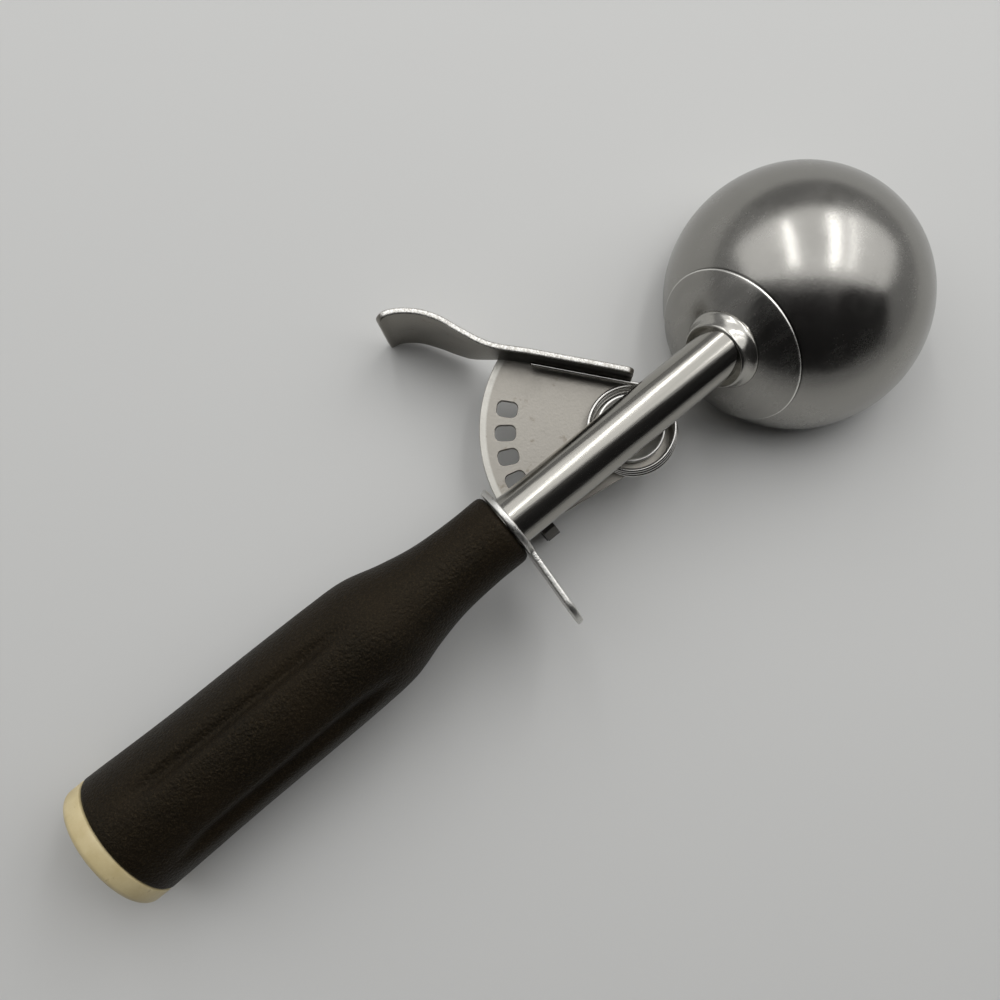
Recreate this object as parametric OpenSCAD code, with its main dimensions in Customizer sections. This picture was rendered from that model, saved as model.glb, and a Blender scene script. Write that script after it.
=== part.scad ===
// Lever ice cream scoop, bowl mouth down, handle along -X, thumb lever on +Y.
// The origin is the centre of the bowl's mouth, on the rim plane.

/* [Bowl] */
// Outer diameter of the bowl's sphere
bowl_d = 68.4; // [64:0.2:72]
// Thickness of the bowl's sheet
bowl_wall = 0.8; // [0.6:0.1:1]
// Height of the bowl's centre above the rim plane
rim_drop = 9.5; // [8:0.5:11]
// Thickness of the saddle plate on the bowl's back
saddle_t = 0.9; // [0.6:0.1:1.2]
// Half angle that the saddle plate covers, seen from the bowl's centre
saddle_angle = 36; // [32:1:40]
// Elevation of the saddle plate's middle above the rim plane
saddle_tilt = 26; // [22:1:30]

/* [Shank] */
// Outer diameter of the shank tube
shank_d = 12.7; // [12:0.1:13.5]
// Wall of the shank tube
shank_wall = 0.9; // [0.7:0.1:1.2]
// Height of the shank's axis above the bowl's centre
shank_rise = 19.8; // [19:0.2:21]
// Radius of the collar where it sits on the saddle plate
collar_base_r = 9.9; // [9.5:0.1:11]
// Radius of the collar's mouth round the shank
collar_mouth_r = 8; // [7.9:0.1:8.6]

/* [Guard and handle] */
// Distance from the bowl's axis back to the guard's front face
guard_back = 95; // [92:1:100]
// Thickness of the guard plate
guard_t = 1.6; // [1.2:0.1:2]
// Radius of the guard's lobe round the shank
guard_lobe_r = 9.8; // [9:0.1:12]
// Reach of the guard's finger from the shank's axis
finger_reach = 29; // [25:1:34]
// Bend of the guard's finger towards the handle
finger_bend = 4; // [0:1:8]
// Length of the handle
handle_len = 112.7; // [110:0.1:116]
// Largest radius of the handle, at its butt
handle_butt_r = 16.2; // [15.5:0.1:17]
// Thickness of the end cap
cap_t = 5.4; // [4:0.1:7]

/* [Thumb lever] */
// Distance of the lever's pivot in front of the guard
pivot_ahead = 38; // [38:0.5:39]
// Thickness of the lever's sheet
lever_t = 1.5; // [1.2:0.1:1.6]
// Radius of the lever's toothed arc
arc_r = 37.5; // [37:0.1:37.5]
// Width across a slot, along the arc
slot_w = 4.3; // [4.2:0.1:4.5]
// Length of a slot, from the pivot outwards
slot_l = 5.7; // [5.2:0.1:6]
// Height of the lever's flange and pad above the sheet
flange_h = 9.2; // [8:0.2:10]
// Height of the thumb pad
pad_h = 19.5; // [17:0.5:20]
// Thickness of the flange and pad
pad_t = 1.6; // [1.4:0.1:1.8]

/* [Drive] */
// Diameter of the drive rod
rod_d = 4.8; // [4.4:0.1:5]
// Number of teeth on the pinion
pinion_teeth = 8; // [8:1:8]
// Pitch radius of the pinion
pinion_r = 7.75; // [7.7:0.05:7.8]
// Width of the pinion's teeth along the rod
tooth_w = 3.6; // [3:0.1:4]
// Width of the scraper blade
blade_w = 9; // [7:0.5:11]
// Thickness of the scraper blade
blade_t = 0.6; // [0.5:0.05:0.8]

/* [Spring] */
// Diameter of the spring's wire
wire_d = 1.1; // [0.9:0.05:1.1]
// Outer diameter of the spring's coil
coil_d = 22.5; // [21.5:0.1:23]
// Number of turns in the coil
coil_turns = 3; // [2:1:3]

/* [Hidden] */
$fn = 96;

fixed_gap = 0.02;       // radial gap between pieces fastened to each other
run_gap = 0.05;         // radial gap of a running fit
slip = 0.35;            // gap between faces that move past each other

bowl_r = bowl_d / 2;
bowl_in = bowl_r - bowl_wall;
saddle_r = bowl_r + saddle_t;
shank_r = shank_d / 2;
shank_in = shank_r - shank_wall;
shank_z = rim_drop + shank_rise;
collar_reach = saddle_r + 2.9;
collar_tilt = asin(shank_rise / collar_reach);      // the mouth is centred on the shank

guard_x = -guard_back;
guard_rear = guard_x - guard_t;
handle_x = guard_rear - 0.2;
butt_x = handle_x - handle_len;
spigot_r = 8;
spigot_l = 8;
tang_back = 90;         // how far the shank reaches into the handle
tang_ring_at = 82;
tang_ring_w = 3;
tang_ring_r = 8.5;

rod_r = rod_d / 2;
rod_z = rim_drop;
pinion_x = guard_x + 7;
pinion_hub_r = 5.2;
sleeve_r = 4.2;
sleeve_x = [pinion_x - 5.3, pinion_x + 6];
pin_x = pinion_x + 4;
pin_r = 0.8;
bush_r = 3.6;
bush_flange_r = 5;
rod_end_x = guard_rear - 4.2;
clip_t = 0.7;

pivot_x = guard_x + pivot_ahead;
slot_r = pivot_ahead - 7;               // slots run over the pinion
slot_pitch = 360 / pinion_teeth * pinion_r / slot_r;
slot_start = 4;                         // bearing of slot 0 from -X
tooth_start = slot_start * slot_r / pinion_r;
lever_mid_z = rod_z + pinion_r;
lever_low = lever_mid_z - lever_t / 2;
lever_top = lever_mid_z + lever_t / 2;
bush_bore_r = 3 + run_gap;
stud_r = 3;
stud_low = rod_z + rod_r + 0.9;
stud_groove_r = 2.4;
clip_z = stud_low + 0.6;
washer_z = clip_z + clip_t + 0.1;
lever_bush_low = washer_z + 0.8 + 0.3;
seat_z = [lever_top + slip, lever_top + 2.8];

blade_out = bowl_in - 0.5;
blade_in = blade_out - blade_t;
hub_r = 4;

// Plan points of the flange and pad, from the pivot, in order from the tube.
flange_start = [8.4, 9.6];
flange_end = [-13.2, 35.2];
pad_points = [
    flange_start, [-2.7, 23], flange_end, [-15.7, 39], [-18, 44.6],
    [-20, 50], [-22.8, 54.4], [-26.4, 57.7], [-29.4, 59.3], [-32, 59.6]
];
boss_r = 11;
lower_edge = [[-7, -8.5], [-36.8, -4]];

coil_r = (coil_d - wire_d) / 2;
coil_z = lever_top + wire_d / 2 + 0.1;
coil_pitch = wire_d + 0.06;
leg_length = 27;

// ---- helpers -------------------------------------------------------------

// Cylinder along X at height z, from x0 to x1.
module x_cyl(r, x0, x1, z = 0) {
    translate([x0, 0, z]) rotate([0, 90, 0]) cylinder(r = r, h = x1 - x0);
}

// Body of revolution about the shank's axis, drawn as [radius, distance back].
module round_shank(x) {
    translate([x, 0, shank_z]) rotate([0, -90, 0]) rotate_extrude() children();
}

// Plate drawn in Y and Z, from x0 forward by t.
module yz_plate(x0, t) {
    translate([x0, 0, 0]) rotate([90, 0, 90]) linear_extrude(height = t) children();
}

// Ball about the bowl's centre.
module ball(r) {
    translate([0, 0, rim_drop]) sphere(r = r, $fn = 180);
}

// Rectangle with round corners, centred.
module rounded_rect(w, h, r) {
    square([w - 2 * r, h], center = true);
    square([w, h - 2 * r], center = true);
    for (sx = [-1, 1], sy = [-1, 1])
        translate([sx * (w / 2 - r), sy * (h / 2 - r)]) circle(r = r);
}

// Ring with a gap, the shape of a retaining clip.
module clip_ring(r_out, r_in, t) {
    linear_extrude(height = t) difference() {
        circle(r = r_out);
        circle(r = r_in);
        translate([0, -r_in * 0.6]) square([r_out + 1, r_in * 1.2]);
    }
}

// Point between p1 and p2 on a smooth curve that also passes p0 and p3.
function spline(p0, p1, p2, p3, t) =
    0.5 * (2 * p1 + (p2 - p0) * t + (2 * p0 - 5 * p1 + 4 * p2 - p3) * t * t
    + (3 * p1 - p0 - 3 * p2 + p3) * t * t * t);

// Smooth curve through a list of points, with n steps between each two.
function smooth(p, n) = [
    for (i = [0 : len(p) - 2], k = [0 : n - 1])
        spline(p[max(i - 1, 0)], p[i], p[i + 1], p[min(i + 2, len(p) - 1)], k / n),
    p[len(p) - 1]
];

function unit(v) = v / norm(v);

// Left-hand normal of a plan curve at point i.
function left_of(p, i) =
    let (d = unit(p[min(i + 1, len(p) - 1)] - p[max(i - 1, 0)])) [-d[1], d[0]];

// Band of thickness t along a plan curve.
module band(p, t) {
    n = len(p) - 1;
    polygon(concat(
        [for (i = [0 : n]) p[i] + left_of(p, i) * t / 2],
        [for (i = [n : -1 : 0]) p[i] - left_of(p, i) * t / 2]
    ));
}

// Round wire along a path; its sections stand across the path's plan.
module wire(path, r, sides = 8) {
    n = len(path) - 1;
    plan = [for (p = path) [p[0], p[1]]];
    points = [
        for (i = [0 : n], s = [0 : sides - 1])
            let (side = left_of(plan, i), a = 360 * s / sides)
            path[i] + r * cos(a) * [side[0], side[1], 0] + [0, 0, r * sin(a)]
    ];
    faces = concat(
        [[for (s = [0 : sides - 1]) s]],
        [
            for (i = [0 : n - 1], s = [0 : sides - 1])
                let (a = i * sides + s, b = i * sides + (s + 1) % sides)
                [a, a + sides, b + sides, b]
        ],
        [[for (s = [sides - 1 : -1 : 0]) n * sides + s]]
    );
    polyhedron(points = points, faces = faces, convexity = 10);
}

// ---- frame: bowl, shank, guard, handle ------------------------------------

module bowl() color([0.68, 0.66, 0.64]) difference() {
    intersection() {
        ball(bowl_r);
        translate([-bowl_r, -bowl_r, 0]) cube([2 * bowl_r, 2 * bowl_r, 2 * bowl_r]);
    }
    ball(bowl_in);
    x_cyl(bush_r + fixed_gap, -bowl_r - 2, -bowl_r + 8, rod_z);
    x_cyl(1.6 + fixed_gap, bowl_r - 8, bowl_r + 2, rod_z);
}

// Dished disc that spreads the shank's load over the bowl's back.
module saddle_plate() color([0.62, 0.61, 0.59]) difference() {
    intersection() {
        ball(saddle_r);
        translate([0, 0, rim_drop])
            rotate([0, -90 + saddle_tilt, 0])
                cylinder(r = saddle_r * sin(saddle_angle), h = saddle_r + 2);
    }
    ball(bowl_r + fixed_gap);
    x_cyl(bush_r + fixed_gap, -saddle_r - 2, -bowl_r + 8, rod_z);
}

module shank_collar() color([0.72, 0.71, 0.7]) difference() {
    translate([0, 0, rim_drop])
        rotate([0, -90 + collar_tilt, 0])
            translate([0, 0, saddle_r - 3])
                cylinder(r1 = collar_base_r, r2 = collar_mouth_r,
                         h = collar_reach - saddle_r + 3);
    ball(saddle_r + fixed_gap);
    x_cyl(shank_r + fixed_gap, -60, 0, shank_z);
}

module shank() color([0.75, 0.74, 0.72]) difference() {
    x_cyl(shank_r, handle_x - tang_back, -15, shank_z);
    x_cyl(shank_in, handle_x - tang_back - 1, -14, shank_z);
    ball(saddle_r + fixed_gap);
    translate([pivot_x, 0, stud_low])
        cylinder(r = stud_r + fixed_gap, h = shank_z - stud_low);
}

// Outline of the guard, seen along the shank.
module guard_outline() {
    finger_half = 6.5;
    finger_low = shank_z - 9;
    tip_y = finger_half - finger_reach;
    translate([0, shank_z]) circle(r = guard_lobe_r);
    translate([0, rod_z]) circle(r = bush_flange_r + 0.5);
    translate([-bush_flange_r, rod_z]) square([2 * bush_flange_r, shank_rise]);
    translate([tip_y, finger_low]) square([-tip_y, 2 * finger_half]);
    translate([tip_y, finger_low + finger_half]) circle(r = finger_half);
}

// Guard: one plate, its finger bent a little towards the handle.
module finger_guard() color([0.72, 0.72, 0.72]) difference() {
    bend_y = -8;
    end_y = -finger_reach - 1;
    end_x = guard_x + (end_y - bend_y) * tan(finger_bend);
    intersection() {
        linear_extrude(height = shank_z + 2 * guard_lobe_r) polygon([
            [guard_x, guard_lobe_r + 2], [guard_x, bend_y], [end_x, end_y],
            [end_x - guard_t, end_y], [guard_rear, bend_y], [guard_rear, guard_lobe_r + 2]
        ]);
        yz_plate(guard_rear - 10, guard_t + 12) guard_outline();
    }
    x_cyl(shank_r + fixed_gap, guard_rear - 2, guard_x + 2, shank_z);
    x_cyl(bush_r + fixed_gap, guard_rear - 2, guard_x + 2, rod_z);
}

// Handle: slim behind the guard, swelling to the butt, bored for the tang.
module handle() color([0.13, 0.1, 0.08]) difference() {
    swell = smooth([
        [9.3, 2], [9.3, 10], [10, 20], [11.8, 29], [14.2, 38], [14.9, 48],
        [15.2, 64], [15.4, 85], [15.8, 100], [handle_butt_r, handle_len]
    ], 4);
    round_shank(handle_x) {
        polygon(concat([[0, 0], [7.8, 0], [8.9, 0.6]], swell, [[0, handle_len]]));
    }
    x_cyl(shank_r + fixed_gap, handle_x - tang_back - 1, handle_x + 1, shank_z);
    x_cyl(tang_ring_r + fixed_gap, handle_x - tang_ring_at - tang_ring_w - fixed_gap,
          handle_x - tang_ring_at + fixed_gap, shank_z);
    x_cyl(spigot_r + fixed_gap, butt_x - 1, butt_x + spigot_l + 0.5, shank_z);
}

module end_cap() color([0.87, 0.81, 0.64]) {
    edge = 1.6;
    cap_r = handle_butt_r - 0.1;
    round_shank(butt_x - fixed_gap) {
        square([cap_r, cap_t - edge]);
        square([cap_r - edge, cap_t]);
        translate([cap_r - edge, cap_t - edge]) circle(r = edge);
    }
    x_cyl(spigot_r, butt_x - 1, butt_x + spigot_l, shank_z);
}

// Ring pressed on the shank, which keeps it from pulling out of the handle.
module tang_ring() color([0.6, 0.6, 0.6]) difference() {
    x_cyl(tang_ring_r, handle_x - tang_ring_at - tang_ring_w,
          handle_x - tang_ring_at, shank_z);
    x_cyl(shank_r + fixed_gap, handle_x - tang_ring_at - tang_ring_w - 1,
          handle_x - tang_ring_at + 1, shank_z);
}

module bowl_bush() color([0.7, 0.6, 0.35]) difference() {
    union() {
        x_cyl(bush_r, -saddle_r - 2.1, -blade_out - 0.35, rod_z);
        x_cyl(bush_flange_r, -saddle_r - 2.1, -saddle_r - fixed_gap, rod_z);
    }
    x_cyl(rod_r + run_gap, -saddle_r - 3, -blade_out + 1, rod_z);
}

module guard_bush() color([0.7, 0.6, 0.35]) difference() {
    union() {
        x_cyl(bush_r, guard_rear - 1, guard_x + 1, rod_z);
        x_cyl(bush_flange_r, guard_x + fixed_gap, guard_x + 1, rod_z);
    }
    x_cyl(rod_r + run_gap, guard_rear - 2, guard_x + 2, rod_z);
}

// Stud riveted in the shank, on which the thumb lever turns.
module pivot_stud() color([0.7, 0.7, 0.7]) translate([pivot_x, 0, 0]) {
    head_z = shank_z - 3.7;
    difference() {
        union() {
            translate([0, 0, stud_low]) cylinder(r = stud_r, h = head_z + 0.5 - stud_low);
            translate([0, 0, head_z]) cylinder(r = 3.9, h = 1.1);
        }
        translate([0, 0, clip_z - 0.05]) difference() {
            cylinder(r = stud_r + 1, h = clip_t + 0.1);
            cylinder(r = stud_groove_r, h = clip_t + 0.1);
        }
    }
}

// Bright disc on the stud, inside the spring's coil.
module spring_seat() color([0.8, 0.8, 0.79])
    translate([pivot_x, 0, seat_z[0]]) difference() {
        cylinder(r = 8.6, h = seat_z[1] - seat_z[0]);
        translate([0, 0, -1]) cylinder(r = stud_r + fixed_gap, h = 6);
    }

module stud_washer() color([0.7, 0.7, 0.7])
    translate([pivot_x, 0, washer_z]) difference() {
        cylinder(r = 6.2, h = 0.8);
        translate([0, 0, -1]) cylinder(r = stud_r + fixed_gap, h = 3);
    }

module stud_clip() color([0.45, 0.45, 0.45])
    translate([pivot_x, 0, clip_z])
        clip_ring(5, stud_groove_r + fixed_gap, clip_t);

// Pin flush in the bowl's far wall, on which the blade's far eye turns.
module blade_pivot_pin() color([0.7, 0.7, 0.7]) intersection() {
    union() {
        x_cyl(1.6, blade_in - 0.5, bowl_r + 1, rod_z);
        x_cyl(2.6, blade_in - 1.4, blade_in - 0.4, rod_z);
    }
    ball(bowl_r - 0.05);
}

// ---- thumb lever ------------------------------------------------------------

// Plan of the sheet: a sector with its boss, up to the flange.
module lever_plan() {
    far = 60;
    difference() {
        union() {
            circle(r = boss_r);
            intersection() {
                circle(r = arc_r, $fn = 180);
                polygon([
                    lower_edge[0], lower_edge[1] * 1.2, [-far, far / 3], [-far, far],
                    flange_end * 1.4, flange_end, flange_start, [6, 0]
                ]);
            }
        }
        circle(r = 4.5 + fixed_gap);
        for (k = [-1 : 4])
            rotate(180 - slot_start - k * slot_pitch)
                translate([slot_r, 0]) rounded_rect(slot_l, slot_w, 1.2);
    }
}

// What a round corner takes off a square one; side is 1 or -1 along the wall.
module corner_off(at, side, r) {
    translate([at[0] - side * r, at[1] - r]) difference() {
        translate([side > 0 ? 0 : -r - 1, 0]) square([r + 1, r + 1]);
        circle(r = r);
    }
}

// Side view of the wall: the flange runs back from 0, the pad forward.
module wall_side() {
    top = lever_top + flange_h;
    low = top - pad_h;
    root = -norm(flange_end - flange_start);
    tip = norm(pad_points[len(pad_points) - 1] - flange_end);
    difference() {
        union() {
            translate([root - 1, lever_low]) square([1.5 - root, top - lever_low]);
            polygon([
                [0, lever_low], [0, top], [tip, top], [tip, low + 0.8],
                [tip - 0.8, low], [10, low], [6, low + 1.6]
            ]);
        }
        corner_off([root, top], -1, 2);
        corner_off([tip, top], 1, 2.5);
    }
}

// Flange and pad: one bent wall, trimmed to its side view.
module lever_wall() {
    run = pad_points[len(pad_points) - 1] - flange_end;
    heading = atan2(run[1], run[0]);
    intersection() {
        translate([0, 0, lever_low - 12])
            linear_extrude(height = 24) band(smooth(pad_points, 4), pad_t);
        translate([flange_end[0], flange_end[1], 0])
            rotate([0, 0, heading]) rotate([90, 0, 0])
                translate([0, 0, -40]) linear_extrude(height = 80) wall_side();
    }
}

module lever_plate() color([0.66, 0.63, 0.58]) translate([pivot_x, 0, 0]) {
    translate([0, 0, lever_low]) linear_extrude(height = lever_t) lever_plan();
    lever_wall();
}

module lever_bush() color([0.7, 0.6, 0.35]) translate([pivot_x, 0, 0]) difference() {
    union() {
        translate([0, 0, lever_bush_low])
            cylinder(r = 4.5, h = lever_top - lever_bush_low);
        translate([0, 0, lever_bush_low])
            cylinder(r = 6.4, h = lever_low - fixed_gap - lever_bush_low);
    }
    translate([0, 0, lever_bush_low - 1]) cylinder(r = bush_bore_r, h = 6);
}

// Torsion spring: a coil round the seat and one leg along the flange.
module return_spring() color([0.7, 0.7, 0.69]) translate([pivot_x, 0, 0]) {
    leave = 40.2;
    steps = 24;
    turn = [
        for (k = [0 : coil_turns * steps])
            let (a = leave - 360 * (coil_turns - k / steps))
            [coil_r * cos(a), coil_r * sin(a), coil_z + coil_pitch * k / steps]
    ];
    last = turn[len(turn) - 1];
    along = [cos(leave + 89.5), sin(leave + 89.5), 0];
    leg = [for (k = [0.1, 0.5, 1]) last + along * leg_length * k];
    wire(concat(turn, leg), wire_d / 2);
}

// ---- drive: rod, pinion, blade ------------------------------------------------

module drive_rod() color([0.68, 0.68, 0.68]) difference() {
    x_cyl(rod_r, rod_end_x, -blade_in + 3, rod_z);
    translate([guard_rear - 2.05, 0, rod_z]) rotate([0, 90, 0]) difference() {
        cylinder(r = rod_r + 1, h = clip_t + 0.1);
        cylinder(r = rod_r - 0.5, h = clip_t + 0.1);
    }
    translate([pin_x, 0, rod_z]) rotate([tooth_turn(0.5), 0, 0])
        cylinder(r = pin_r + fixed_gap, h = 12, center = true);
}

// Turn about X of tooth number k, from straight up towards +Y.
function tooth_turn(k) = -(tooth_start + k * 360 / pinion_teeth);

module drive_pinion() color([0.55, 0.54, 0.5]) difference() {
    tooth_tip = pinion_r + 0.85;
    union() {
        x_cyl(sleeve_r, sleeve_x[0], sleeve_x[1], rod_z);
        translate([0, 0, rod_z]) yz_plate(pinion_x - tooth_w / 2, tooth_w) {
            circle(r = pinion_hub_r);
            for (k = [0 : pinion_teeth - 1])
                rotate(tooth_turn(k)) polygon([
                    [-1.4, 4.5], [1.4, 4.5], [1.4, pinion_r - 0.6],
                    [0.9, tooth_tip], [-0.9, tooth_tip], [-1.4, pinion_r - 0.6]
                ]);
        }
    }
    x_cyl(rod_r + fixed_gap, sleeve_x[0] - 1, sleeve_x[1] + 1, rod_z);
    translate([pin_x, 0, rod_z]) rotate([tooth_turn(0.5), 0, 0])
        cylinder(r = pin_r + fixed_gap, h = 12, center = true);
}

module pinion_pin() color([0.6, 0.6, 0.6])
    translate([pin_x, 0, rod_z]) rotate([tooth_turn(0.5), 0, 0])
        cylinder(r = pin_r, h = 2 * sleeve_r + 0.2, center = true);

module rod_washer() color([0.7, 0.7, 0.7]) difference() {
    x_cyl(4, sleeve_x[0] - 0.5, sleeve_x[0] - 0.05, rod_z);
    x_cyl(rod_r + fixed_gap, sleeve_x[0] - 1, sleeve_x[0] + 1, rod_z);
}

module rod_clip() color([0.45, 0.45, 0.45])
    translate([guard_rear - 2, 0, rod_z]) rotate([0, 90, 0])
        clip_ring(4, rod_r - 0.5 + fixed_gap, clip_t);

// Blade: a half ring that sweeps the bowl's inside, with an eye at each end.
module scraper_blade() color([0.66, 0.66, 0.66]) difference() {
    intersection() {
        ball(blade_out);
        union() {
            translate([-bowl_r, 0, rim_drop - blade_w / 2])
                cube([2 * bowl_r, bowl_r, blade_w]);
            x_cyl(blade_w / 2, -bowl_r, bowl_r, rod_z);
        }
    }
    ball(blade_in);
    x_cyl(rod_r + fixed_gap, -bowl_r, 0, rod_z);
    x_cyl(1.6 + run_gap, 0, bowl_r, rod_z);
}

module blade_hub() color([0.6, 0.6, 0.6]) difference() {
    x_cyl(hub_r, -blade_in + 0.35, -blade_in + 2.4, rod_z);
    x_cyl(rod_r + fixed_gap, -bowl_r, 0, rod_z);
}

bowl();
saddle_plate();
shank_collar();
shank();
finger_guard();
handle();
end_cap();
tang_ring();
bowl_bush();
guard_bush();
pivot_stud();
spring_seat();
stud_washer();
stud_clip();
blade_pivot_pin();
lever_plate();
lever_bush();
return_spring();
drive_rod();
drive_pinion();
pinion_pin();
rod_washer();
rod_clip();
scraper_blade();
blade_hub();
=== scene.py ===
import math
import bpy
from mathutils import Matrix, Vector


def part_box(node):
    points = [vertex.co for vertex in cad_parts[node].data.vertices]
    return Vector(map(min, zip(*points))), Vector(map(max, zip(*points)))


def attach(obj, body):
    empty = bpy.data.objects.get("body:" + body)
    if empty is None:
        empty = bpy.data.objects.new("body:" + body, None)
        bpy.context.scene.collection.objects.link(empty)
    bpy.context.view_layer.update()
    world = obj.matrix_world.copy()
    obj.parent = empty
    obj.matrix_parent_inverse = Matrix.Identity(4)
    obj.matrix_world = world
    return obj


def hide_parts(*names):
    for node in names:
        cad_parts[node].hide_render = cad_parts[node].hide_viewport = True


bl_info = {
    "name": "Lever Ice Cream Scoop",
    "version": (1, 0, 0),
    "blender": (4, 5, 0),
    "location": "3D View > Sidebar > Scoop",
    "description": "Builds and dresses a lever ice cream scoop",
    "category": "Add Mesh",
}

import bmesh
import bpy
from bpy.props import FloatProperty, FloatVectorProperty, IntProperty, PointerProperty
from mathutils import Matrix, Vector

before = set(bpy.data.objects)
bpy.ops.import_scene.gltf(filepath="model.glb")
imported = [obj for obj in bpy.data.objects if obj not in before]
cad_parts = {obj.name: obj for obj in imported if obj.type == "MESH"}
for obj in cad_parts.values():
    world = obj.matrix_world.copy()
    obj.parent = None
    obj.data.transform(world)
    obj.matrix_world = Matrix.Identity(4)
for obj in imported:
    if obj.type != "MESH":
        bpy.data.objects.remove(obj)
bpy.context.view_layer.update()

MM = 0.001
SKIN_GAP = 0.02 * MM  # between two skins that lie on each other


def low(node):
    """Lowest corner of a solid of the frame."""
    return Vector(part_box(node)[0])


def high(node):
    """Highest corner of a solid of the frame."""
    return Vector(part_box(node)[1])


# Places that every piece is hung on, read from the frame.
BOWL_R = (high("bowl").x - low("bowl").x) / 2
BOWL_CENTRE = Vector((0, 0, high("bowl").z - BOWL_R))
SHANK_R = (high("shank").z - low("shank").z) / 2
SHANK_Z = (high("shank").z + low("shank").z) / 2
GUARD_FRONT = high("finger_guard").x
HANDLE_FRONT = high("handle").x
HANDLE_BACK = low("handle").x
HANDLE_R = (high("handle").z - low("handle").z) / 2
PIVOT = Vector((0.5 * (low("lever_bush").x + high("lever_bush").x), 0, 0))
LEVER_TOP = high("lever_bush").z
WALL_TOP = high("lever_plate").z
WALL_LOW = low("lever_plate").z


# ---- settings ---------------------------------------------------------------

def length(name, description, default):
    """Property for a length, its default given in millimetres."""
    return FloatProperty(name=name, description=description, default=default * MM,
                         unit="LENGTH", precision=5)


class ScoopBowlSettings(bpy.types.PropertyGroup):
    """Bowl, saddle plate and collar."""
    wall: length("Wall", "Thickness of the bowl's sheet", 0.8)
    saddle_wall: length("Saddle", "Thickness of the saddle plate", 0.9)
    saddle_spread: FloatProperty(name="Saddle spread", description="Half angle of the saddle plate",
                                 default=math.radians(36), unit="ROTATION")
    saddle_tilt: FloatProperty(name="Saddle tilt", description="Elevation of the saddle's middle",
                               default=math.radians(26), unit="ROTATION")
    collar_reach: length("Collar reach", "Height of the collar's mouth above the saddle", 2.9)
    steel: FloatVectorProperty(name="Steel", description="Colour of the satin steel",
                               subtype="COLOR", default=(0.32, 0.312, 0.292))


class ScoopShankSettings(bpy.types.PropertyGroup):
    """Shank tube and finger guard."""
    wall: length("Wall", "Wall of the tube", 0.9)
    guard_edge: length("Guard edge", "Rounding of the guard's edges", 0.4)
    steel: FloatVectorProperty(name="Steel", description="Colour of the polished steel",
                               subtype="COLOR", default=(0.36, 0.348, 0.318))


class ScoopHandleSettings(bpy.types.PropertyGroup):
    """Handle and end cap."""
    flutes: IntProperty(name="Flutes", description="Number of shallow flutes", default=5, min=1)
    flute_depth: length("Flute depth", "Depth of a flute", 1.6)
    plastic: FloatVectorProperty(name="Handle", description="Colour of the handle",
                                 subtype="COLOR", default=(0.0042, 0.0033, 0.0020))
    ivory: FloatVectorProperty(name="Cap", description="Colour of the end cap",
                               subtype="COLOR", default=(0.66, 0.56, 0.33))


class ScoopLeverSettings(bpy.types.PropertyGroup):
    """Thumb lever: toothed plate, flange and pad."""
    sheet: length("Sheet", "Thickness of the lever's sheet", 1.5)
    arc: length("Arc", "Radius of the toothed arc", 37.5)
    slot_circle: length("Slot circle", "Radius that the slots lie on", 31)
    slot_pitch: FloatProperty(name="Slot pitch", description="Angle from slot to slot",
                              default=math.radians(11.25), unit="ROTATION")
    slot_length: length("Slot length", "Size of a slot along the radius", 5.2)
    slot_width: length("Slot width", "Size of a slot along the arc", 3.95)
    wall: length("Wall", "Thickness of the flange and pad", 1.6)
    lean: length("Lean", "How far the pad's lower edge leans to the handle", 2.3)
    steel: FloatVectorProperty(name="Steel", description="Colour of the lever's sheet",
                               subtype="COLOR", default=(0.30, 0.284, 0.254))


class ScoopSpringSettings(bpy.types.PropertyGroup):
    """Return spring."""
    wire: length("Wire", "Diameter of the spring's wire", 1.1)
    coil: length("Coil", "Outer diameter of the coil", 22.5)
    turns: IntProperty(name="Turns", description="Number of turns", default=3, min=1)
    lean: length("Lean", "Sideways lean of the lowest turn", 1.3)


class ScoopStageSettings(bpy.types.PropertyGroup):
    """Camera, floor and lamps."""
    camera_place: FloatVectorProperty(name="Camera", description="Place of the camera",
                                      subtype="TRANSLATION", precision=5,
                                      default=(-0.10787, -0.02134, 0.28509))
    camera_turn: FloatVectorProperty(name="Camera turn", description="Euler angles of the camera",
                                     subtype="EULER", precision=5,
                                     default=(math.radians(5.612), math.radians(1.032),
                                              math.radians(-39.258)))
    floor: FloatVectorProperty(name="Floor", description="Colour of the floor",
                               subtype="COLOR", default=(0.635, 0.635, 0.622))


def settings():
    """All the settings, from the scene."""
    return bpy.context.scene.scoop


class ScoopSettings(bpy.types.PropertyGroup):
    """Every setting of the scoop."""
    bowl: PointerProperty(type=ScoopBowlSettings)
    shank: PointerProperty(type=ScoopShankSettings)
    handle: PointerProperty(type=ScoopHandleSettings)
    lever: PointerProperty(type=ScoopLeverSettings)
    spring: PointerProperty(type=ScoopSpringSettings)
    stage: PointerProperty(type=ScoopStageSettings)


# ---- mesh helpers -----------------------------------------------------------

def clamp(value):
    """The value, held between 0 and 1."""
    return min(max(value, 0), 1)


def ease(value):
    """Soft step: 0 up to 0, 1 from 1 on, and smooth between."""
    value = clamp(value)
    return value * value * (3 - 2 * value)


def add_piece(name, bm, material, sharp=40):
    """Turns a bmesh into an object of the scene with one material."""
    bmesh.ops.remove_doubles(bm, verts=bm.verts, dist=1e-7)
    bmesh.ops.recalc_face_normals(bm, faces=bm.faces)
    mesh = bpy.data.meshes.new(name)
    bm.to_mesh(mesh)
    bm.free()
    mesh.shade_smooth()
    mesh.set_sharp_from_angle(angle=math.radians(sharp))
    piece = bpy.data.objects.new(name, mesh)
    bpy.context.scene.collection.objects.link(piece)
    piece.data.materials.append(material)
    return piece


def dress(piece, body, slot, *nodes):
    """Hangs a piece on its body and hides the solids of the frame that it stands for."""
    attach(piece, body)
    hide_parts(*nodes)
    return piece


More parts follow.
